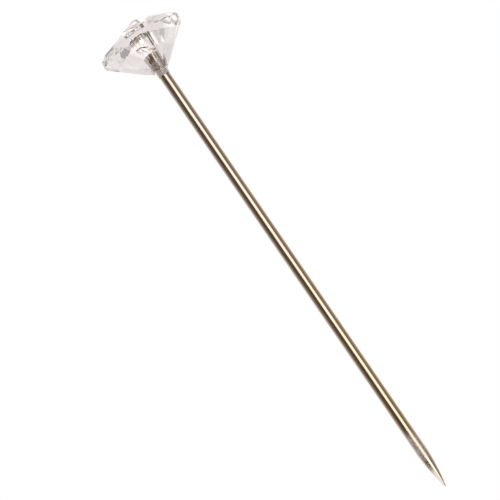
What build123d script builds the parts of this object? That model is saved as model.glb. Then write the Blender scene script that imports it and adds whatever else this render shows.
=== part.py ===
from build123d import *
from math import atan2, cos, radians, sin, tan
import os

# A long pin with a clear, faceted head. Its axis is Z, with the head on top and the point below.
# The origin is where the bare wire comes out of the bond under the head.

# Shank: a straight drawn wire with a ground point, and a shallow neck that the bond grips
shank_diameter = 1.02
free_length = 44.58
insertion_depth = 2.1
point_length = 3.9
tip_diameter = 0.08
butt_chamfer = 0.1
neck_length = 1.27
neck_depth = 0.06

# Head: a round brilliant, given by the heights of its zones and the circles its facet corners lie on
main_facets = 8
crown_height = 1.45
girdle_thickness = 0.4
pavilion_height = 2.97
girdle_diameter = 8.0
table_diameter = 2.9
star_corner_diameter = 6.0
lower_half_corner_diameter = 2.9

# Bore, with its draft in degrees, and bond
bond_clearance = 0.15
bore_draft = 0.4
mouth_wall = 0.04
end_wall = 0.45
cap_thickness = 0.4
meniscus_rise = 0.25
bead_height = 0.62
bead_width = 0.1

# Levels along the axis
tip_level = -free_length
point_top = tip_level + point_length
seat_level = bead_height
girdle_bottom = seat_level + pavilion_height
girdle_top = girdle_bottom + girdle_thickness
table_level = girdle_top + crown_height
butt_level = seat_level + insertion_depth
cap_level = butt_level + cap_thickness
meniscus_level = cap_level + meniscus_rise
bore_end = table_level - end_wall

# Radii out from the axis
shank_radius = shank_diameter / 2
mouth_radius = shank_radius + bond_clearance
seat_radius = mouth_radius + mouth_wall
bead_radius = shank_radius + bead_width
girdle_radius = girdle_diameter / 2
table_radius = table_diameter / 2
star_radius = star_corner_diameter / 2
lower_half_radius = lower_half_corner_diameter / 2

# The main facets stand at even azimuths, and the corners between two of them lie half a step round
facet_step = 360 / main_facets
half_step = facet_step / 2
half_step_cosine = cos(radians(half_step))
crown_angle = atan2(crown_height, girdle_radius - table_radius)
pavilion_angle = atan2(pavilion_height, girdle_radius - seat_radius)
star_level = girdle_top + (girdle_radius - star_radius * half_step_cosine) * tan(crown_angle)
star_angle = atan2(table_level - star_level, star_radius - table_radius * half_step_cosine)
lower_half_drop = (girdle_radius - lower_half_radius * half_step_cosine) * tan(pavilion_angle)
lower_half_level = girdle_bottom - lower_half_drop


def bore_radius(level):
    """The radius of the bore at a height. It narrows from its mouth up, as a moulded hole does."""
    return mouth_radius - (level - seat_level) * tan(radians(bore_draft))


def corner(radius, azimuth, level):
    """A facet corner, from its distance off the axis, its azimuth in degrees and its height."""
    return Vector(radius * cos(radians(azimuth)), radius * sin(radians(azimuth)), level)


def sloping_facet(start, azimuth, slope):
    """The plane through start that faces an azimuth at a slope from level, upwards, or downwards if below 0."""
    rise = cos(slope) if slope > 0 else -cos(slope)
    return Plane(origin=start, z_dir=corner(abs(sin(slope)), azimuth, rise))


def half_facet(meeting, azimuth, side, level):
    """The plane through a corner of the crown or pavilion and two girdle corners that lie half a step apart."""
    near = corner(girdle_radius, azimuth, level)
    far = corner(girdle_radius, azimuth + side * half_step, level)
    outward = (far - near).cross(meeting - near)
    if outward.dot(corner(1, azimuth, 0)) < 0:
        outward = -outward
    return Plane(origin=meeting, z_dir=outward)


def crown_facets(azimuth):
    """One main facet, the star beside it and the two upper halves below that star."""
    between = azimuth + half_step
    star_corner = corner(star_radius, between, star_level)
    yield sloping_facet(corner(girdle_radius, azimuth, girdle_top), azimuth, crown_angle)
    yield sloping_facet(star_corner, between, star_angle)
    for side in (-1, 1):
        yield half_facet(star_corner, between, side, girdle_top)


def pavilion_facets(azimuth):
    """One main facet and the two lower halves beside it."""
    between = azimuth + half_step
    lower_corner = corner(lower_half_radius, between, lower_half_level)
    yield sloping_facet(corner(girdle_radius, azimuth, girdle_bottom), azimuth, -pavilion_angle)
    for side in (-1, 1):
        yield half_facet(lower_corner, between, side, girdle_bottom)


os.makedirs("parts", exist_ok=True)

# Faceted head: a round blank, cut by one plane for each facet, then bored from its seat
with BuildPart() as faceted_head:
    with BuildSketch(Plane.XY.offset(seat_level)):
        Circle(girdle_radius)
    extrude(amount=table_level - seat_level)
    for step in range(main_facets):
        azimuth = step * facet_step
        for facet in (*crown_facets(azimuth), *pavilion_facets(azimuth)):
            split(bisect_by=facet, keep=Keep.BOTTOM)
    with Locations((0, 0, seat_level)):
        Cone(
            mouth_radius,
            bore_radius(bore_end),
            bore_end - seat_level,
            align=(Align.CENTER, Align.CENTER, Align.MIN),
            mode=Mode.SUBTRACT,
        )
faceted_head.part.label = "faceted_head"
export_step(faceted_head.part, "parts/faceted_head.step")

# Half the outline of the inserted end, from the middle of its blunt top down to the foot of its neck
butt_outline = (
    (0, butt_level),
    (shank_radius - butt_chamfer, butt_level),
    (shank_radius, butt_level - butt_chamfer),
    (shank_radius, neck_length),
)
neck_outline = (
    (shank_radius, neck_length),
    (shank_radius - neck_depth, neck_length / 2),
    (shank_radius, 0),
)

# Pin shank: half its outline turned about the axis, with the point an arc that leaves the wire smoothly
with BuildPart() as pin_shank:
    with BuildSketch(Plane.XZ):
        with BuildLine():
            Polyline(*butt_outline)
            ThreePointArc(*neck_outline)
            wire = Line((shank_radius, 0), (shank_radius, point_top))
            point = TangentArc(wire @ 1, (tip_diameter / 2, tip_level), tangent=(0, -1))
            Polyline(point @ 1, (0, tip_level), (0, butt_level))
        make_face()
    revolve(axis=Axis.Z)
pin_shank.part.label = "pin_shank"
export_step(pin_shank.part, "parts/pin_shank.step")

# Adhesive bond: the film round the inserted wire, the cap over its blunt end and the bead at the bore's mouth
with BuildPart() as adhesive_bond:
    with BuildSketch(Plane.XZ):
        with BuildLine():
            middle = Line((0, cap_level), (0, butt_level))
            Polyline(*butt_outline)
            neck = ThreePointArc(*neck_outline)
            bead = TangentArc(neck @ 1, (bead_radius, seat_level), tangent=(0, 1))
            mouth = Line(bead @ 1, (mouth_radius, seat_level))
            film = Line(mouth @ 1, (bore_radius(meniscus_level), meniscus_level))
            TangentArc(middle @ 0, film @ 1, tangent=(1, 0))
        make_face()
    revolve(axis=Axis.Z)
adhesive_bond.part.label = "adhesive_bond"
export_step(adhesive_bond.part, "parts/adhesive_bond.step")
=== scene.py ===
from math import atan2, cos, pi, radians, sin, sqrt, tan

import bmesh
import bpy
from mathutils import Matrix, Vector


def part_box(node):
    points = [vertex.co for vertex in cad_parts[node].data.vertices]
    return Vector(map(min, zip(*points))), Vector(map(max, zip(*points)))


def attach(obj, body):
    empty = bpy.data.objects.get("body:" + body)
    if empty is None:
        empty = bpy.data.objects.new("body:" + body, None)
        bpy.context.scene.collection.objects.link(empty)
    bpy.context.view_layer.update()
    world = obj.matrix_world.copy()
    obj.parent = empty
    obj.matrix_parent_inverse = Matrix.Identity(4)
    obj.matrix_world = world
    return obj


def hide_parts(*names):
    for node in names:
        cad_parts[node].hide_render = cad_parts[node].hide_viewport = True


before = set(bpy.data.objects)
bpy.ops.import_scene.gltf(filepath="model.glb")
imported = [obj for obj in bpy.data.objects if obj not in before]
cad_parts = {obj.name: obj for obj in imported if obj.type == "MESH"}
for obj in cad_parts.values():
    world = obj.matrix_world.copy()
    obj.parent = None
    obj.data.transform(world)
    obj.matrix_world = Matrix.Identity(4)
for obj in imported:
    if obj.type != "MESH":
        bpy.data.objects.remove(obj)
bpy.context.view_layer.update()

# A long pin: a clear faceted head, bonded to a plated wire shank.
# Sizes are in millimetres. The axis is Z, the head is on top and the origin is at the foot of the bead.
MM = 0.001
head_low, head_high = (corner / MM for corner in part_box("faceted_head"))
shank_low, shank_high = (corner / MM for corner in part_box("pin_shank"))
_, bond_high = (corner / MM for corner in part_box("adhesive_bond"))

# Shank
shank_radius = shank_high.x
tip_radius = 0.04
tip_level = shank_low.z
point_length = 3.9
point_top = tip_level + point_length
neck_length = 1.27
neck_depth = 0.06
butt_level = shank_high.z
butt_chamfer = 0.1

# Head: the zones of a round brilliant and the circles that its facet corners lie on
main_facets = 8
girdle_points = 128
girdle_radius = head_high.x
table_radius = 1.45
star_radius = 3.0
lower_corner_radius = 1.45
seat_radius = 0.70
pavilion_height = 2.97
girdle_thickness = 0.4
edge_rounding = 0.035
seat_level = head_low.z
girdle_bottom = seat_level + pavilion_height
girdle_top = girdle_bottom + girdle_thickness
table_level = head_high.z

# Slopes of the facets, and the levels of the corners where they meet
half_step = pi / main_facets
half_chord = cos(half_step / 2)
crown_slope = (table_level - girdle_top) / (girdle_radius - table_radius)
pavilion_slope = (girdle_bottom - seat_level) / (girdle_radius - seat_radius)
star_level = girdle_top + (girdle_radius - star_radius * cos(half_step)) * crown_slope
lower_corner_drop = (girdle_radius - lower_corner_radius * cos(half_step)) * pavilion_slope
lower_corner_level = girdle_bottom - lower_corner_drop
upper_half_slope = (star_level - girdle_top) / ((girdle_radius - star_radius) * half_chord)
lower_half_run = (girdle_radius - lower_corner_radius) * half_chord
lower_half_slope = (girdle_bottom - lower_corner_level) / lower_half_run

# Bore: drafted, with faint moulding ridges round its closed end
mouth_radius = bond_high.x
bore_draft = radians(0.4)
end_wall = 0.45
end_rounding = 0.05
bore_end = table_level - end_wall
ridges = 4
ridge_steps = 6
ridge_pitch = 0.19
ridge_depth = 0.004

# Bond: a bead under the seat, a film round the wire and a cap over its butt, with a leaning hollow surface
bond_gap = 0.012
bead_width = 0.1
bead_radius = shank_radius + bead_width
bead_foot = 0.02
bead_bow = 0.01
cap_thickness = 0.4
cap_level = butt_level + cap_thickness
meniscus_level = bond_high.z
meniscus_bow = 0.06
meniscus_steps = 8
meniscus_tilt = 0.75

# Residue: adhesive has run down one side of the bore, and has dried in rows of droplets beside that
run_azimuth = radians(-12.8)
run_shift = -0.45
rows_middle = run_azimuth - pi / 2 - 0.35
rows_spread = 2.2
top_line_drop = 0.12
first_row_drop = 0.25
skin_thickness = 0.014
skin_strips = 6

scene = bpy.context.scene
scene.view_settings.view_transform = "Standard"

# Light meets many faces inside the head
scene.cycles.max_bounces = 48
scene.cycles.transmission_bounces = 40
scene.cycles.glossy_bounces = 12
scene.cycles.transparent_max_bounces = 24


def bore_radius(level):
    """The radius of the bore at a height. It narrows from its mouth up."""
    return mouth_radius - (level - seat_level) * tan(bore_draft)


# Nodes

def add(tree, kind, inputs=None, **settings):
    """A node of that kind. An input is a value, or the socket that it is linked to."""
    node = tree.nodes.new(kind)
    for name, value in settings.items():
        setattr(node, name, value)
    for key, value in (inputs or {}).items():
        if isinstance(value, bpy.types.NodeSocket):
            tree.links.new(value, node.inputs[key])
        else:
            node.inputs[key].default_value = value
    return node


def math(tree, operation, first, second=0.0):
    """A sum on one or two numbers."""
    return add(tree, "ShaderNodeMath", {0: first, 1: second}, operation=operation).outputs[0]


def remap(tree, value, low, high, to_low=0.0, to_high=1.0, smooth=True):
    """A number carried from one range to another and held at both ends, with an eased run between them."""
    inputs = {0: value, 1: low, 2: high, 3: to_low, 4: to_high}
    kind = "SMOOTHSTEP" if smooth else "LINEAR"
    return add(tree, "ShaderNodeMapRange", inputs, interpolation_type=kind).outputs[0]


def mix_colour(tree, factor, first, second):
    inputs = {0: factor, 6: first, 7: second}
    return add(tree, "ShaderNodeMix", inputs, data_type="RGBA").outputs[2]


def mix_value(tree, factor, first, second):
    return add(tree, "ShaderNodeMix", {0: factor, 2: first, 3: second}).outputs[0]


def combine(tree, x=0.0, y=0.0, z=0.0):
    return add(tree, "ShaderNodeCombineXYZ", {0: x, 1: y, 2: z}).outputs[0]


def separate(tree, vector):
    return add(tree, "ShaderNodeSeparateXYZ", {0: vector}).outputs


def new_group(name, kind, sockets):
    """An empty node group with these sockets, each a name, a way, a kind and a first value."""
    tree = bpy.data.node_groups.new(name, kind)
    for label, way, socket_kind, value in sockets:
        socket = tree.interface.new_socket(label, in_out=way, socket_type=socket_kind)
        if value is not None:
            socket.default_value = value
    return tree


def end_tree(tree, geometry, material):
    """Ends a geometry tree with real geometry in its material."""
    real = add(tree, "GeometryNodeRealizeInstances", {0: geometry}).outputs[0]
    dressed = add(tree, "GeometryNodeSetMaterial", {"Geometry": real, "Material": material})
    add(tree, "NodeGroupOutput", {0: dressed.outputs[0]})


def nodes_mesh(tree, values):
    """The plain mesh that a geometry tree makes with these inputs."""
    holder = bpy.data.objects.new("holder", bpy.data.meshes.new("holder"))
    scene.collection.objects.link(holder)
    modifier = holder.modifiers.new("nodes", "NODES")
    modifier.node_group = tree
    for item in tree.interface.items_tree:
        if item.item_type == "SOCKET" and item.in_out == "INPUT":
            modifier[item.identifier] = values[item.name]
    graph = bpy.context.evaluated_depsgraph_get()
    data = bpy.data.meshes.new_from_object(holder.evaluated_get(graph))
    holder.modifiers.clear()
    bpy.data.objects.remove(holder)
    return data


# Meshes

def outline_arc(start, end, rise, count):
    """Points from start to end, without start, on a curve that bows out by rise on its right-hand side."""
    (r0, z0), (r1, z1) = start, end
    length = sqrt((r1 - r0) ** 2 + (z1 - z0) ** 2)
    across = ((z1 - z0) / length, -(r1 - r0) / length)
    points = []
    for i in range(1, count + 1):
        s = i / count
        bow = 4 * rise * s * (1 - s)
        points.append((r0 + (r1 - r0) * s + across[0] * bow, z0 + (z1 - z0) * s + across[1] * bow))
    return points


def turned(mesh, outline, segments):
    """Adds the closed surface of an outline, of (radius, level) from pole to pole, turned about the axis."""
    on_axis = 1e-6
    turns = [2 * pi / segments * i for i in range(segments)]
    rings = []
    for radius, level in outline:
        if radius < on_axis:
            rings.append([mesh.verts.new((0, 0, level))])
        else:
            rings.append([mesh.verts.new((radius * cos(turn), radius * sin(turn), level)) for turn in turns])
    faces = []
    for low, high in zip(rings, rings[1:]):
        for i in range(segments):
            j = (i + 1) % segments
            if len(low) == 1:
                corners = (low[0], high[j], high[i])
            elif len(high) == 1:
                corners = (low[i], low[j], high[0])
            else:
                corners = (low[i], low[j], high[j], high[i])
            faces.append(mesh.faces.new(corners))
    return faces


def smooth_where(mesh, faces, angle):
    """Shades faces smooth, and keeps every edge sharper than an angle."""
    for face in faces:
        face.smooth = True
    for edge in mesh.edges:
        if len(edge.link_faces) == 2 and edge.calc_face_angle(0) > angle:
            edge.smooth = False


def finish_piece(name, mesh, material, node):
    """Turns a mesh in millimetres into a piece that rides on the pin and stands for a node, if one is named."""
    mesh.transform(Matrix.Scale(MM, 4))
    data = bpy.data.meshes.new(name)
    mesh.to_mesh(data)
    mesh.free()
    data.materials.append(material)
    piece = bpy.data.objects.new(name, data)
    scene.collection.objects.link(piece)
    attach(piece, "root")
    if node:
        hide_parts(node)


# Shader group

def make_mottle():
    """Patches and fine grain over a surface: a broad mask, a fine mask and their joint height."""
    tree = new_group("mottle", "ShaderNodeTree", (
        ("Vector", "INPUT", "NodeSocketVector", None),
        ("Patch scale", "INPUT", "NodeSocketFloat", 1000.0),
        ("Grain scale", "INPUT", "NodeSocketFloat", 8000.0),
        ("Patches", "OUTPUT", "NodeSocketFloat", None),
        ("Grain", "OUTPUT", "NodeSocketFloat", None),
        ("Height", "OUTPUT", "NodeSocketFloat", None),
    ))
    patch_share, grain_share = 0.7, 0.3
    given = add(tree, "NodeGroupInput").outputs
    patches = add(tree, "ShaderNodeTexNoise", {
        "Vector": given["Vector"], "Scale": given["Patch scale"], "Detail": 3.0, "Distortion": 0.4,
    }).outputs[0]
    grain = add(tree, "ShaderNodeTexNoise", {
        "Vector": given["Vector"], "Scale": given["Grain scale"], "Detail": 4.0, "Roughness": 0.6,
    }).outputs[0]
    broad = remap(tree, patches, 0.35, 0.65)
    fine = remap(tree, grain, 0.3, 0.7)
    broad_height = math(tree, "MULTIPLY", broad, patch_share)
    fine_height = math(tree, "MULTIPLY", fine, grain_share)
    height = math(tree, "ADD", broad_height, fine_height)
    add(tree, "NodeGroupOutput", {"Patches": broad, "Grain": fine, "Height": height})
    return tree


mottle = make_mottle()


# Materials

clear_index = 1.49
adhesive_index = 1.5

# Colours. Of two, the first is where a mask over the surface is 0 and the second where it is 1.
# The clear plastic's grey-pink tint and its blotches are painted shade: the head's own shadow and caustic light
# seen through it.
clear_painted_shade_tints = (0.87, 0.84, 0.85, 1), (0.78, 0.745, 0.76, 1)
# The wall of the bore's empty end is painted bright and left out of the painted shade.
pocket_painted_bright_tint = (1, 0.99, 0.98, 1)
# The wire's second colour, warmer towards the point, is a painted reflection of the warmer light seen along the
# lower wire.
wire_and_warm_reflection_tints = (0.77, 0.71, 0.65, 1), (0.83, 0.73, 0.56, 1)
wire_stain = (0.62, 0.55, 0.47, 1)
# The ground point is paler: partly its own bare steel, partly painted sheen for the white light its grinding
# scatters.
ground_steel_and_sheen_tints = (0.80, 0.73, 0.65, 1), (0.95, 0.88, 0.79, 1)
bead_tints = (0.74, 0.62, 0.48, 1), (0.95, 0.92, 0.89, 1)
# The mauve film colour is a painted reflection: the bore wall's reflections round the foot of the wire.
mauve_reflection_film_tints = (0.62, 0.53, 0.52, 1), (0.74, 0.66, 0.65, 1)
brown_film_tints = (0.30, 0.21, 0.16, 1), (0.52, 0.41, 0.35, 1)
gold_tints = (0.36, 0.265, 0.17, 1), (0.66, 0.54, 0.36, 1)
brown_tints = (0.09, 0.06, 0.045, 1), (0.21, 0.145, 0.10, 1)
floor_tints = (0.93, 0.93, 0.92, 1), (0.95, 0.95, 0.94, 1)


def new_material(name):
    """A material, its tree, its shader and the place on the piece."""
    material = bpy.data.materials.new(name)
    material.use_nodes = True
    tree = material.node_tree
    tree.nodes.clear()
    shader = add(tree, "ShaderNodeBsdfPrincipled")
    add(tree, "ShaderNodeOutputMaterial", {"Surface": shader.outputs[0]})
    place = add(tree, "ShaderNodeTexCoord").outputs["Object"]
    return material, tree, shader, place


def link(tree, socket, shader, name):
    tree.links.new(socket, shader.inputs[name])


def mottled(tree, place, patch_scale, grain_scale):
    """The masks and the height of the mottle on a surface."""
    inputs = {"Vector": place, "Patch scale": patch_scale, "Grain scale": grain_scale}
    return add(tree, "ShaderNodeGroup", inputs, node_tree=mottle).outputs


def add_bump(tree, shader, height, strength, depth):
    """Relief on a surface, with its depth in millimetres."""
    bump = add(tree, "ShaderNodeBump", {"Height": height, "Strength": strength, "Distance": depth * MM})
    link(tree, bump.outputs[0], shader, "Normal")


def axis_distance(tree, place):
    """The distance from the axis, in metres."""
    x, y, _ = separate(tree, place)
    squares = math(tree, "ADD", math(tree, "POWER", x, 2.0), math(tree, "POWER", y, 2.0))
    return math(tree, "SQRT", squares)


def between(tree, place, start, end, to_start=0.0, to_end=1.0, smooth=True):
    """A value that goes from to_start to to_end between two heights, given in millimetres."""
    level = separate(tree, place)[2]
    return remap(tree, level, start * MM, end * MM, to_start, to_end, smooth)


def run_side(tree, place, low, high):
    """A mask of the side that adhesive has run down, by the cosine of the azimuth from it."""
    side = (cos(run_azimuth), sin(run_azimuth), 0)
    beside = add(tree, "ShaderNodeVectorMath", {0: place, 1: side}, operation="DOT_PRODUCT").outputs["Value"]
    return remap(tree, math(tree, "DIVIDE", beside, axis_distance(tree, place)), low, high)


def clear_plastic():
    """Clear moulded plastic with a grey-pink tint and blotches of painted shade, for its own shadow and caustics
    seen through it, and painted bright on the wall of the bore's empty end.
    """
    wall_margin, end_margin, cap_margin = 0.02, 0.05, 0.02
    material, tree, shader, place = new_material("clear_plastic")
    for name, value in (("Transmission Weight", 1.0), ("IOR", clear_index), ("Metallic", 0.0)):
        shader.inputs[name].default_value = value
    spots = mottled(tree, place, 330.0, 2600.0)
    # Painted shade: this tint and its blotches stand for the head's own shadow and caustics.
    clear = mix_colour(tree, spots["Patches"], *clear_painted_shade_tints)
    wall = mouth_radius + wall_margin
    near_wall = remap(tree, axis_distance(tree, place), (wall + wall_margin) * MM, wall * MM)
    below_end = between(tree, place, bore_end + 2 * end_margin, bore_end + end_margin)
    above_cap = between(tree, place, cap_level, cap_level + cap_margin)
    pocket = math(tree, "MULTIPLY", math(tree, "MULTIPLY", near_wall, below_end), above_cap)
    # Painted brightness on the wall of the bore's empty end.
    link(tree, mix_colour(tree, pocket, clear, pocket_painted_bright_tint), shader, "Base Color")
    link(tree, remap(tree, spots["Grain"], 0, 1, 0.0, 0.05), shader, "Roughness")
    add_bump(tree, shader, spots["Height"], 0.09, 0.03)
    return material


def plated_wire():
    """Plated wire with fine drawn streaks and faint stains, warmer towards the point as a painted reflection, with
    a grainy ground point painted paler, partly its bare steel and partly painted sheen.
    """
    streak_stretch = 0.02
    stain_strength = 0.25
    material, tree, shader, place = new_material("plated_wire")
    shader.inputs["Metallic"].default_value = 1.0
    drawn = add(tree, "ShaderNodeMapping", {"Vector": place, "Scale": (1, 1, streak_stretch)}).outputs[0]
    streaks = add(tree, "ShaderNodeTexNoise", {"Vector": drawn, "Scale": 9000.0, "Detail": 2.0}).outputs[0]
    spots = mottled(tree, place, 900.0, 7000.0)
    # Painted reflection: the wire turns warmer towards the point.
    warm_reflection_share = between(tree, place, 0.0, point_top, smooth=False)
    stains = math(tree, "MULTIPLY", spots["Patches"], stain_strength)
    plated = mix_colour(tree, stains, mix_colour(tree, warm_reflection_share, *wire_and_warm_reflection_tints), wire_stain)
    # Paler ground steel: partly its own colour, partly painted sheen.
    steel_and_sheen = mix_colour(tree, spots["Grain"], *ground_steel_and_sheen_tints)
    ground = between(tree, place, tip_level + 6.4, tip_level + 4.9)
    link(tree, mix_colour(tree, ground, plated, steel_and_sheen), shader, "Base Color")
    wire_roughness = remap(tree, streaks, 0.3, 0.7, 0.10, 0.17)
    ground_roughness = remap(tree, spots["Grain"], 0, 1, 0.30, 0.46)
    tip_roughness = remap(tree, spots["Grain"], 0, 1, 0.12, 0.19)
    tapered = between(tree, place, tip_level + 3.4, tip_level + 2.4)
    point_roughness = mix_value(tree, tapered, ground_roughness, tip_roughness)
    link(tree, mix_value(tree, ground, wire_roughness, point_roughness), shader, "Roughness")
    add_bump(tree, shader, mix_value(tree, ground, streaks, spots["Height"]), 0.22, 0.014)
    return material


def adhesive():
    """Cured adhesive: a milky bead under the seat, and above it a thin film, mauve at its foot as a painted
    reflection of the bore wall, and browner on one side.
    """
    bead_cover, side_cover, foot_reflection_cover = 0.48, 0.6, 0.20
    seat_softness = 0.03
    material, tree, shader, place = new_material("adhesive")
    shader.inputs["IOR"].default_value = adhesive_index
    spots = mottled(tree, place, 1500.0, 6000.0)
    seated = between(tree, place, seat_level - seat_softness, seat_level + seat_softness)
    beside = run_side(tree, place, 0.70, 0.92)
    bead = mix_colour(tree, spots["Patches"], *bead_tints)
    # Mauve: painted reflection of the bore wall.
    mauve_reflection = mix_colour(tree, spots["Grain"], *mauve_reflection_film_tints)
    # Browner on the side that the run mask picks out.
    brown = mix_colour(tree, spots["Grain"], *brown_film_tints)
    film = mix_colour(tree, beside, mauve_reflection, brown)
    link(tree, mix_colour(tree, seated, bead, film), shader, "Base Color")
    link(tree, remap(tree, spots["Grain"], 0, 1, 0.12, 0.3), shader, "Roughness")
    # The film covers most at its foot, where its mauve paints the bore wall's reflections.
    foot = between(tree, place, seat_level + 0.6, seat_level + 1.3, foot_reflection_cover, 0.0)
    film_cover = math(tree, "MAXIMUM", foot, math(tree, "MULTIPLY", beside, side_cover))
    cover = mix_value(tree, seated, bead_cover, film_cover)
    patchy = remap(tree, spots["Patches"], 0, 1, 0.5, 1)
    link(tree, math(tree, "MULTIPLY", cover, patchy), shader, "Alpha")
    add_bump(tree, shader, spots["Height"], 0.2, 0.02)
    return material


def adhesive_residue():
    """Dried adhesive: gold droplets, and dark brown on the run, the top line and the edge of the meniscus."""
    material, tree, shader, place = new_material("adhesive_residue")
    shader.inputs["IOR"].default_value = adhesive_index
    spots = mottled(tree, place, 3200.0, 9000.0)
    run = run_side(tree, place, 0.80, 0.88)
    top = between(tree, place, bore_end - 0.19, bore_end - 0.15)
    edge = between(tree, place, meniscus_level + 0.4, meniscus_level + 0.36)
    dark = math(tree, "MAXIMUM", math(tree, "MAXIMUM", run, edge), top)
    gold = mix_colour(tree, spots["Patches"], *gold_tints)
    brown = mix_colour(tree, spots["Patches"], *brown_tints)
    link(tree, mix_colour(tree, dark, gold, brown), shader, "Base Color")
    link(tree, remap(tree, spots["Grain"], 0, 1, 0.2, 0.45), shader, "Roughness")
    link(tree, remap(tree, spots["Grain"], 0, 1, 0.6, 1.0), shader, "Alpha")
    add_bump(tree, shader, spots["Height"], 0.3, 0.01)
    return material


# Faceted head

def make_brilliant():
    """The convex body of a round brilliant, from the rings of corners that its facets meet in."""
    sizes = (
        "Girdle radius", "Girdle top", "Girdle bottom", "Table radius", "Table level", "Star radius", "Star level",
        "Lower corner radius", "Lower corner level", "Seat radius", "Seat level",
        "Upper half slope", "Lower half slope",
    )
    tree = new_group("brilliant", "GeometryNodeTree", (
        ("Main facets", "INPUT", "NodeSocketInt", 8),
        ("Girdle points", "INPUT", "NodeSocketInt", 128),
        *((size, "INPUT", "NodeSocketFloat", 1.0) for size in sizes),
        ("Material", "INPUT", "NodeSocketMaterial", None),
        ("Geometry", "OUTPUT", "NodeSocketGeometry", None),
    ))
    given = add(tree, "NodeGroupInput").outputs
    step = math(tree, "DIVIDE", pi, given["Main facets"])
    half = math(tree, "MULTIPLY", step, 0.5)

    def corners(radius, level, turn):
        """A ring of one corner for each main facet."""
        circle = add(tree, "GeometryNodeMeshCircle", {"Vertices": given["Main facets"], "Radius": radius})
        return add(tree, "GeometryNodeTransform", {
            "Geometry": circle.outputs[0],
            "Translation": combine(tree, z=level),
            "Rotation": combine(tree, z=turn),
        }).outputs[0]

    def girdle_edge(level, slope, side):
        """A round edge of the girdle, scalloped by the half facets that cut into it."""
        circle = add(tree, "GeometryNodeMeshCircle", {
            "Vertices": given["Girdle points"], "Radius": given["Girdle radius"],
        })
        x, y, _ = separate(tree, add(tree, "GeometryNodeInputPosition").outputs[0])
        azimuth = math(tree, "ARCTAN2", y, x)
        within_facet = math(tree, "SUBTRACT", math(tree, "FLOORED_MODULO", azimuth, step), half)
        bulge = math(tree, "SUBTRACT", math(tree, "COSINE", within_facet), math(tree, "COSINE", half))
        drop = math(tree, "MULTIPLY", math(tree, "MULTIPLY", bulge, given["Girdle radius"]), slope)
        height = add(tree, "ShaderNodeMath", {0: drop, 1: side, 2: level}, operation="MULTIPLY_ADD").outputs[0]
        return add(tree, "GeometryNodeSetPosition", {
            "Geometry": circle.outputs[0], "Offset": combine(tree, z=height),
        }).outputs[0]

    joined = add(tree, "GeometryNodeJoinGeometry")
    seat_corner = math(tree, "DIVIDE", given["Seat radius"], math(tree, "COSINE", step))
    for ring in (
        corners(given["Table radius"], given["Table level"], 0.0),
        corners(given["Star radius"], given["Star level"], step),
        girdle_edge(given["Girdle top"], given["Upper half slope"], -1.0),
        girdle_edge(given["Girdle bottom"], given["Lower half slope"], 1.0),
        corners(given["Lower corner radius"], given["Lower corner level"], step),
        corners(seat_corner, given["Seat level"], step),
    ):
        tree.links.new(ring, joined.inputs[0])
    hull = add(tree, "GeometryNodeConvexHull", {0: joined.outputs[0]}).outputs[0]
    end_tree(tree, hull, given["Material"])
    return tree


def cut_facets(material):
    """The outside of the head, with its facet edges rounded."""
    same_point = 1e-4
    flat, sharp, soft = radians(0.4), radians(4), radians(25)
    upright = 0.02
    data = nodes_mesh(make_brilliant(), {
        "Main facets": main_facets, "Girdle points": girdle_points, "Girdle radius": girdle_radius,
        "Girdle top": girdle_top, "Girdle bottom": girdle_bottom,
        "Table radius": table_radius, "Table level": table_level,
        "Star radius": star_radius, "Star level": star_level,
        "Lower corner radius": lower_corner_radius, "Lower corner level": lower_corner_level,
        "Seat radius": seat_radius, "Seat level": seat_level,
        "Upper half slope": upper_half_slope, "Lower half slope": lower_half_slope, "Material": material,
    })
    mesh = bmesh.new()
    mesh.from_mesh(data)
    bmesh.ops.remove_doubles(mesh, verts=mesh.verts, dist=same_point)
    bmesh.ops.dissolve_limit(mesh, angle_limit=flat, verts=mesh.verts, edges=mesh.edges)
    made = bmesh.ops.bevel(
        mesh,
        geom=[edge for edge in mesh.edges if edge.calc_face_angle(0) > sharp],
        offset=edge_rounding,
        offset_type="OFFSET",
        segments=2,
        profile=0.5,
        affect="EDGES",
        clamp_overlap=True,
    )
    girdle_wall = [face for face in mesh.faces if abs(face.normal.z) < upright]
    smooth_where(mesh, [*made["faces"], *girdle_wall], soft)
    return mesh


def hollow_end(mesh):
    """Adds the empty end of the bore: the leaning meniscus, the ridged wall and the rounded end."""
    just_above, soft = 1e-4, radians(25)
    middle = (0.0, cap_level)
    wall_foot = (bore_radius(meniscus_level), meniscus_level)
    outline = [middle, *outline_arc(middle, wall_foot, meniscus_bow, meniscus_steps)]
    for i in range(ridges * ridge_steps, -1, -1):
        level = bore_end - end_rounding - i / ridge_steps * ridge_pitch
        ridge = ridge_depth * (1 - cos(2 * pi * i / ridge_steps)) / 2
        outline.append((bore_radius(level) - ridge, level))
    outline += [(bore_radius(bore_end) - end_rounding, bore_end), (0.0, bore_end)]
    hollow = turned(mesh, outline, 64)
    lean = Vector((-cos(run_azimuth), -sin(run_azimuth), 0)) * meniscus_tilt
    for vert in {vert for face in hollow for vert in face.verts if vert.co.z < meniscus_level + just_above}:
        vert.co.z += vert.co.dot(lean)
    bmesh.ops.reverse_faces(mesh, faces=hollow)
    smooth_where(mesh, hollow, soft)


def faceted_head(material):
    mesh = cut_facets(material)
    hollow_end(mesh)
    finish_piece("clear_faceted_head", mesh, material, "faceted_head")


# Pin shank

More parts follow.
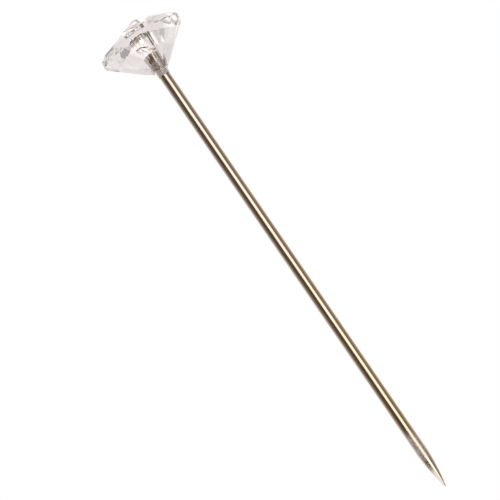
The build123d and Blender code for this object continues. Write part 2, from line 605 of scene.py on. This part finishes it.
def pin_shank(material):
    """The wire turned from its outline, with a point that leaves the wire as an arc."""
    point_steps, neck_steps, wire_steps = 40, 12, 60
    arc_turn = 2 * atan2(shank_radius - tip_radius, point_top - tip_level)
    arc_radius = (point_top - tip_level) / sin(arc_turn)
    point = []
    for i in range(point_steps, -1, -1):
        turn = arc_turn * i / point_steps
        point.append((shank_radius - arc_radius * (1 - cos(turn)), point_top - arc_radius * sin(turn)))
    wire = [(shank_radius, point_top - point_top * i / wire_steps) for i in range(1, wire_steps + 1)]
    neck = outline_arc((shank_radius, 0.0), (shank_radius, neck_length), -neck_depth, neck_steps)
    butt = [
        (shank_radius, butt_level - butt_chamfer),
        (shank_radius - butt_chamfer, butt_level),
        (0.0, butt_level),
    ]
    mesh = bmesh.new()
    smooth_where(mesh, turned(mesh, [(0.0, tip_level), *point, *wire, *neck, *butt], 96), radians(18))
    finish_piece("plated_pin_shank", mesh, material, "pin_shank")


# Adhesive bond

def adhesive_bond(material):
    """The bond turned from its outline: down the wire, out round the bead, up the bore and in over the cap."""
    foot = (shank_radius + bond_gap, bead_foot)
    inside = [
        (0.0, butt_level + bond_gap),
        (shank_radius - butt_chamfer, butt_level + bond_gap),
        (shank_radius + bond_gap, butt_level - butt_chamfer),
        foot,
    ]
    bead = outline_arc(foot, (bead_radius, seat_level), bead_bow, 8)
    mouth = (bore_radius(seat_level), seat_level)
    middle = (0.0, cap_level - bond_gap)
    wall_top = (bore_radius(meniscus_level), meniscus_level - bond_gap)
    meniscus = outline_arc(middle, wall_top, meniscus_bow, meniscus_steps)
    mesh = bmesh.new()
    faces = turned(mesh, [*inside, *bead, mouth, *reversed(meniscus), middle], 64)
    smooth_where(mesh, faces, radians(30))
    finish_piece("cured_adhesive_bond", mesh, material, "adhesive_bond")


# Adhesive residue on the wall of the bore above the wire

def make_droplet_rings():
    """Rings of small flat droplets on the wall of the bore."""
    tree = new_group("droplet_rings", "GeometryNodeTree", (
        ("Rings", "INPUT", "NodeSocketInt", 4),
        ("Droplets", "INPUT", "NodeSocketInt", 24),
        ("Middle", "INPUT", "NodeSocketFloat", 0.0),
        ("Spread", "INPUT", "NodeSocketFloat", 1.0),
        ("Ring radius", "INPUT", "NodeSocketFloat", 1.0),
        ("Top level", "INPUT", "NodeSocketFloat", 1.0),
        ("Pitch", "INPUT", "NodeSocketFloat", 0.1),
        ("Droplet radius", "INPUT", "NodeSocketFloat", 0.1),
        ("Flatness", "INPUT", "NodeSocketFloat", 0.3),
        ("Share", "INPUT", "NodeSocketFloat", 0.8),
        ("Seed", "INPUT", "NodeSocketInt", 1),
        ("Material", "INPUT", "NodeSocketMaterial", None),
        ("Geometry", "OUTPUT", "NodeSocketGeometry", None),
    ))
    sideways_scatter, upright_scatter = 0.3, 0.12
    smallest, largest, squatness = 0.6, 1.3, 0.8
    given = add(tree, "NodeGroupInput").outputs
    index = add(tree, "GeometryNodeInputIndex").outputs[0]

    def chance(low, high, step):
        seed = math(tree, "ADD", given["Seed"], step)
        inputs = {2: low, 3: high, "Seed": seed}
        return add(tree, "FunctionNodeRandomValue", inputs, data_type="FLOAT").outputs[1]

    ring = math(tree, "FLOOR", math(tree, "DIVIDE", index, given["Droplets"]))
    in_ring = math(tree, "FLOORED_MODULO", index, given["Droplets"])
    along = math(tree, "ADD", in_ring, chance(-sideways_scatter, sideways_scatter, 1))
    share = math(tree, "SUBTRACT", math(tree, "DIVIDE", along, given["Droplets"]), 0.5)
    azimuth = math(tree, "ADD", math(tree, "MULTIPLY", share, given["Spread"]), given["Middle"])
    down = math(tree, "ADD", ring, chance(-upright_scatter, upright_scatter, 2))
    drop = math(tree, "MULTIPLY", down, given["Pitch"])
    place = combine(
        tree,
        math(tree, "MULTIPLY", math(tree, "COSINE", azimuth), given["Ring radius"]),
        math(tree, "MULTIPLY", math(tree, "SINE", azimuth), given["Ring radius"]),
        math(tree, "SUBTRACT", given["Top level"], drop),
    )
    count = math(tree, "MULTIPLY", given["Rings"], given["Droplets"])
    points = add(tree, "GeometryNodePoints", {"Count": count, "Position": place}).outputs[0]
    droplet = add(tree, "GeometryNodeMeshIcoSphere", {"Radius": given["Droplet radius"], "Subdivisions": 2})
    rotation = add(tree, "FunctionNodeEulerToRotation", {0: combine(tree, z=azimuth)}).outputs[0]
    size = chance(smallest, largest, 3)
    kept = math(tree, "LESS_THAN", chance(0.0, 1.0, 4), given["Share"])
    droplets = add(tree, "GeometryNodeInstanceOnPoints", {
        "Points": points,
        "Selection": kept,
        "Instance": droplet.outputs[0],
        "Rotation": rotation,
        "Scale": combine(tree, given["Flatness"], size, math(tree, "MULTIPLY", size, squatness)),
    }).outputs[0]
    end_tree(tree, droplets, given["Material"])
    return tree


def wall_skin(mesh, path, half_widths):
    """Adds a thin closed skin on the wall of the bore, along a path of (azimuth, level)."""
    layers = []
    for out in (skin_thickness / 2, -skin_thickness / 2):
        layer = []
        for i, (azimuth, level) in enumerate(path):
            radius = bore_radius(level)
            before, after = path[max(i - 1, 0)], path[min(i + 1, len(path) - 1)]
            way = Vector(((after[0] - before[0]) * radius, after[1] - before[1])).normalized()
            row = []
            for j in range(skin_strips + 1):
                aside = half_widths[i] * (2 * j / skin_strips - 1)
                turn = azimuth + way.y * aside / radius
                spot = ((radius + out) * cos(turn), (radius + out) * sin(turn), level - way.x * aside)
                row.append(mesh.verts.new(spot))
            layer.append(row)
        layers.append(layer)
    outer, inner = layers
    last = len(path) - 1
    faces = []
    for i in range(last):
        for j in range(skin_strips):
            for layer in layers:
                faces.append((layer[i][j], layer[i][j + 1], layer[i + 1][j + 1], layer[i + 1][j]))
        for j in (0, skin_strips):
            faces.append((outer[i][j], outer[i + 1][j], inner[i + 1][j], inner[i][j]))
    for j in range(skin_strips):
        for i in (0, last):
            faces.append((outer[i][j], outer[i][j + 1], inner[i][j + 1], inner[i][j]))
    bmesh.ops.recalc_face_normals(mesh, faces=[mesh.faces.new(face) for face in faces])


def wavy(half_width, coarse, fine, places):
    """Half widths along a line that wander by two waves, each a depth and a rate."""
    return [half_width + coarse[0] * sin(coarse[1] * at) + fine[0] * sin(fine[1] * at) for at in places]


def run_down_wall(mesh):
    """Adhesive that has run down one side of the bore."""
    low, high, steps = meniscus_level, bore_end - 0.06, 40
    levels = [low + (high - low) * i / steps for i in range(steps + 1)]
    path = [(run_azimuth + run_shift, level) for level in levels]
    wall_skin(mesh, path, wavy(0.155, (0.02, 7), (0.013, 19), levels))


def top_line(mesh):
    """A dried line round the closed end of the bore, above the rows of droplets."""
    steps = 60
    turns = [rows_middle + rows_spread * (i / steps - 0.5) for i in range(steps + 1)]
    path = [(turn, bore_end - top_line_drop + 0.012 * sin(11 * turn)) for turn in turns]
    wall_skin(mesh, path, wavy(0.048, (0.014, 17), (0.010, 41), turns))


def meniscus_line(mesh):
    """A dried line where the adhesive's leaning surface meets the wall."""
    steps, lift = 48, 0.02
    start, sweep = run_azimuth - 0.92 * pi, 0.5 * pi
    turns = [start + sweep * i / steps for i in range(steps + 1)]
    reach = bore_radius(meniscus_level) * meniscus_tilt
    path = [(turn, meniscus_level + lift - reach * cos(turn - run_azimuth)) for turn in turns]
    wall_skin(mesh, path, wavy(0.050, (0.016, 9), (0.008, 23), turns))


def residue_marks(material):
    data = nodes_mesh(make_droplet_rings(), {
        "Rings": 3, "Droplets": 19, "Middle": rows_middle, "Spread": rows_spread,
        "Ring radius": bore_radius(bore_end - 0.4), "Top level": bore_end - first_row_drop,
        "Pitch": 0.17, "Droplet radius": 0.078, "Flatness": 0.21, "Share": 0.95, "Seed": 7, "Material": material,
    })
    mesh = bmesh.new()
    mesh.from_mesh(data)
    run_down_wall(mesh)
    top_line(mesh)
    meniscus_line(mesh)
    for face in mesh.faces:
        face.smooth = True
    finish_piece("dried_adhesive_residue", mesh, material, None)


faceted_head(clear_plastic())
pin_shank(plated_wire())
adhesive_bond(adhesive())
residue_marks(adhesive_residue())


# Camera: the middle of the girdle and the tip fall on these pixels of the frame

photo_side = 500
girdle_pixel = (141.53, 41.68)
tip_pixel = (445.63, 486.35)
camera_distance = 790 * MM
camera_azimuth = radians(-12.8)
camera_elevation = radians(-16.7)
sensor_width = 36.0


def place_camera():
    """The focal length comes from the angle between the two points, and the turn from where they fall."""
    girdle = Vector((0, 0, (girdle_bottom + girdle_top) / 2 * MM))
    tip = Vector((0, 0, tip_level * MM))
    level_share = cos(camera_elevation)
    away = Vector((
        sin(camera_azimuth) * level_share,
        -cos(camera_azimuth) * level_share,
        sin(camera_elevation),
    ))
    spot = girdle + away * camera_distance
    seen = [(point - spot).normalized() for point in (girdle, tip)]
    marks = [Vector((x - photo_side / 2, photo_side / 2 - y)) for x, y in (girdle_pixel, tip_pixel)]

    # The squared cosine between the two rays gives a quadratic in the squared focal length
    cosine = seen[0].dot(seen[1]) ** 2
    both = marks[0].dot(marks[1])
    first, second = (mark.length_squared for mark in marks)
    a, b, c = 1 - cosine, 2 * both - cosine * (first + second), both ** 2 - cosine * first * second
    focal = sqrt((-b + sqrt(b * b - 4 * a * c)) / (2 * a))
    rays = [Vector((mark.x, mark.y, -focal)).normalized() for mark in marks]

    def triad(one, two):
        across = one.cross(two).normalized()
        return Matrix((one, across, one.cross(across))).transposed()

    data = bpy.data.cameras.new("camera")
    data.sensor_width = sensor_width
    data.lens = focal * sensor_width / photo_side
    data.clip_start = 0.05
    data.clip_end = 50.0
    camera = bpy.data.objects.new("camera", data)
    camera.matrix_world = Matrix.Translation(spot) @ (triad(*seen) @ triad(*rays).transposed()).to_4x4()
    scene.collection.objects.link(camera)
    scene.camera = camera


place_camera()


# Stage, in metres

floor_radius = 1.2
floor_fade_start = 0.35
floor_fade_end = 1.1


def make_floor():
    """A pale floor that fades out round its rim and can't be seen from below."""
    mesh = bmesh.new()
    bmesh.ops.create_circle(mesh, cap_ends=True, segments=96, radius=floor_radius)
    bmesh.ops.translate(mesh, verts=mesh.verts, vec=(0, 0, tip_level * MM))
    data = bpy.data.meshes.new("floor")
    mesh.to_mesh(data)
    mesh.free()
    material = bpy.data.materials.new("pale_floor")
    material.use_nodes = True
    tree = material.node_tree
    tree.nodes.clear()
    place = add(tree, "ShaderNodeTexCoord").outputs["Object"]
    spots = mottled(tree, place, 12.0, 900.0)
    pale = mix_colour(tree, spots["Patches"], *floor_tints)
    lit = add(tree, "ShaderNodeBsdfDiffuse", {"Color": pale}).outputs[0]
    clear = add(tree, "ShaderNodeBsdfTransparent").outputs[0]
    below = add(tree, "ShaderNodeNewGeometry").outputs["Backfacing"]
    faded = remap(tree, axis_distance(tree, place), floor_fade_start, floor_fade_end)
    gone = math(tree, "MAXIMUM", below, faded)
    surface = add(tree, "ShaderNodeMixShader", {0: gone, 1: lit, 2: clear}).outputs[0]
    add(tree, "ShaderNodeOutputMaterial", {"Surface": surface})
    data.materials.append(material)
    floor = bpy.data.objects.new("floor", data)
    scene.collection.objects.link(floor)
    floor.visible_glossy = False
    floor.visible_transmission = False


# What metal and plastic see round them, by degrees to the right of the camera
white_room = (1.0, 0.985, 0.96, 1)
window = (1.5, 1.43, 1.30, 1)
room_ring = (
    (-152, white_room),
    (-122, (0.64, 0.60, 0.57, 1)),
    (-96, (0.38, 0.335, 0.30, 1)),
    (-66, (0.125, 0.092, 0.068, 1)),
    (-24, (0.085, 0.058, 0.038, 1)),
    (-9, (0.10, 0.07, 0.045, 1)),
    (-2, window),
    (35, window),
    (44, (0.22, 0.158, 0.11, 1)),
    (82, (0.27, 0.20, 0.15, 1)),
    (106, (0.40, 0.34, 0.30, 1)),
    (126, (0.60, 0.55, 0.52, 1)),
    (148, white_room),
)
skylight = (1.35, 1.20, 1.13, 1)
ceiling_ring = (
    (-150, (0.60, 0.53, 0.51, 1)),
    (-80, (0.50, 0.44, 0.42, 1)),
    (-48, (0.17, 0.135, 0.13, 1)),
    (-4, (0.17, 0.13, 0.12, 1)),
    (18, skylight),
    (66, skylight),
    (92, (0.62, 0.54, 0.52, 1)),
    (150, (0.66, 0.58, 0.56, 1)),
)
ceiling_start = radians(52)
ceiling_full = radians(75)
dark_card = (0.12, 0.10, 0.085, 1)
mid_card = (0.45, 0.41, 0.37, 1)
light_card = (1.15, 1.12, 1.06, 1)
low_ring = (
    (-180, dark_card), (-166, dark_card), (-152, light_card), (-126, light_card), (-112, mid_card),
    (-96, dark_card), (-72, dark_card), (-58, light_card), (-36, light_card), (-22, mid_card),
    (-4, dark_card), (18, dark_card), (32, light_card), (58, light_card), (74, mid_card),
    (94, dark_card), (116, dark_card), (130, light_card), (152, light_card), (166, mid_card), (180, dark_card),
)
low_ring_top = radians(-10.5)
low_ring_softness = radians(3.5)

# The white ground reaches up to these elevations: on the left, ahead, on the right, and for light from the head
ground_left_start = radians(-125)
ground_right_start = radians(10)
ground_right_full = radians(30)
ground_edge_left = radians(3)
ground_edge_ahead = radians(-4)
ground_edge_right = radians(-44)
ground_edge_head = radians(14)
ground_edge_softness = radians(2.5)

# Cards in the room, each in front of those before it. A card has a colour, its azimuths and its elevations.
# A span of degrees is a start, an end and the soft edge inside both, and one that goes on behind ends at beyond.
beyond = 200
crown_light = (2.2, 2.15, 2.1, 1)
back_light = (1.55, 1.52, 1.48, 1)
side_light = (1.35, 1.32, 1.28, 1)
pale_card = (0.72, 0.69, 0.69, 1)
dim_wall = (0.84, 0.81, 0.81, 1)
side_wall = (0.84, 0.80, 0.78, 1)
grey_card = (0.46, 0.45, 0.45, 1)


def round_behind(start, soft):
    """The spans of a card that goes round behind, from start degrees on one side to the same on the other."""
    return (start, beyond, soft), (-beyond, -start, soft)


mirrored_cards = (
    (crown_light, ((174.5, beyond, 2), (-beyond, -160, 6)), (25, 38, 3)),
)
head_cards = (
    (grey_card, ((76, 124, 8),), (-58, -36, 4)),
    (side_wall, ((40, 150, 12), (-150, -58, 12)), (8, 34, 6)),
    (side_wall, round_behind(68, 16), (24, 64, 6)),
    (dim_wall, round_behind(132, 10), (13, 36, 4)),
    (back_light, round_behind(162, 5), (34, 56, 5)),
    (side_light, round_behind(118, 12), (-10, 6, 4)),
    (side_light, ((-142, -62, 12),), (-26, 15, 6)),
    (pale_card, ((-140, -50, 15),), (-66, -38, 6)),
)


def make_world():
    """A white studio that the camera sees plain. Metal and plastic see the room round it and its bright window."""
    plain_strength = 0.6
    world = bpy.data.worlds.new("studio")
    world.use_nodes = True
    scene.world = world
    tree = world.node_tree
    tree.nodes.clear()
    path = add(tree, "ShaderNodeLightPath").outputs
    from_head = path["Is Transmission Ray"]
    mirrored = math(tree, "SUBTRACT", 1.0, from_head)
    ray = add(tree, "ShaderNodeTexCoord").outputs["Generated"]
    facing = add(tree, "ShaderNodeVectorRotate", {"Vector": ray, "Angle": -camera_azimuth}, rotation_type="Z_AXIS")
    x, y, z = separate(tree, facing.outputs[0])
    azimuth = math(tree, "ARCTAN2", x, math(tree, "MULTIPLY", y, -1.0))
    elevation = math(tree, "ARCSINE", z)
    turn = remap(tree, azimuth, -pi, pi, smooth=False)

    def all_round(ring):
        ramp = add(tree, "ShaderNodeValToRGB", {0: turn})
        stops = ramp.color_ramp.elements
        for i, (degrees, colour) in enumerate(ring):
            stop = stops[i] if i < len(stops) else stops.new(1.0)
            stop.position = 0.5 + degrees / 360
            stop.color = colour
        return ramp.outputs[0]

    def within(value, start, end, soft):
        rising = remap(tree, value, radians(start), radians(start + soft))
        falling = remap(tree, value, radians(end - soft), radians(end), 1.0, 0.0)
        return math(tree, "MULTIPLY", rising, falling)

    right = remap(tree, azimuth, ground_right_start, ground_right_full)
    left = remap(tree, azimuth, ground_left_start, 0.0, ground_edge_left, ground_edge_ahead, smooth=False)
    mirrored_edge = mix_value(tree, right, left, ground_edge_right)
    edge = mix_value(tree, from_head, mirrored_edge, ground_edge_head)
    above = remap(tree, math(tree, "SUBTRACT", elevation, edge), 0.0, ground_edge_softness)
    room = mix_colour(tree, above, white_room, all_round(room_ring))
    under = remap(tree, elevation, low_ring_top, low_ring_top - low_ring_softness)
    room = mix_colour(tree, math(tree, "MULTIPLY", under, mirrored), room, all_round(low_ring))
    overhead = remap(tree, elevation, ceiling_start, ceiling_full)
    room = mix_colour(tree, overhead, room, all_round(ceiling_ring))
    for rays, cards in ((mirrored, mirrored_cards), (from_head, head_cards)):
        for colour, azimuths, elevations in cards:
            sideways = within(azimuth, *azimuths[0])
            for span in azimuths[1:]:
                sideways = math(tree, "MAXIMUM", sideways, within(azimuth, *span))
            card = math(tree, "MULTIPLY", sideways, within(elevation, *elevations))
            room = mix_colour(tree, math(tree, "MULTIPLY", card, rays), room, colour)

    shiny = math(tree, "MAXIMUM", path["Is Glossy Ray"], from_head)
    plain = add(tree, "ShaderNodeBackground", {"Color": (1, 1, 1, 1), "Strength": plain_strength}).outputs[0]
    seen = add(tree, "ShaderNodeBackground", {"Color": (1, 1, 1, 1), "Strength": 1.0}).outputs[0]
    studio = add(tree, "ShaderNodeBackground", {"Color": room, "Strength": 1.0}).outputs[0]
    lit = add(tree, "ShaderNodeMixShader", {0: shiny, 1: plain, 2: studio}).outputs[0]
    shown = add(tree, "ShaderNodeMixShader", {0: path["Is Camera Ray"], 1: lit, 2: seen}).outputs[0]
    add(tree, "ShaderNodeOutputWorld", {"Surface": shown})


def make_lamp(name, spot, size, power):
    """A soft square lamp that faces the origin."""
    data = bpy.data.lights.new(name, "AREA")
    data.size = size
    data.energy = power
    lamp = bpy.data.objects.new(name, data)
    lamp.location = spot
    lamp.rotation_mode = "QUATERNION"
    lamp.rotation_quaternion = (-Vector(spot)).to_track_quat("-Z", "Y")
    lamp.visible_transmission = False
    scene.collection.objects.link(lamp)


make_floor()
make_world()
make_lamp("key_softbox", spot=(-0.5, -0.3, 0.8), size=0.5, power=3.0)
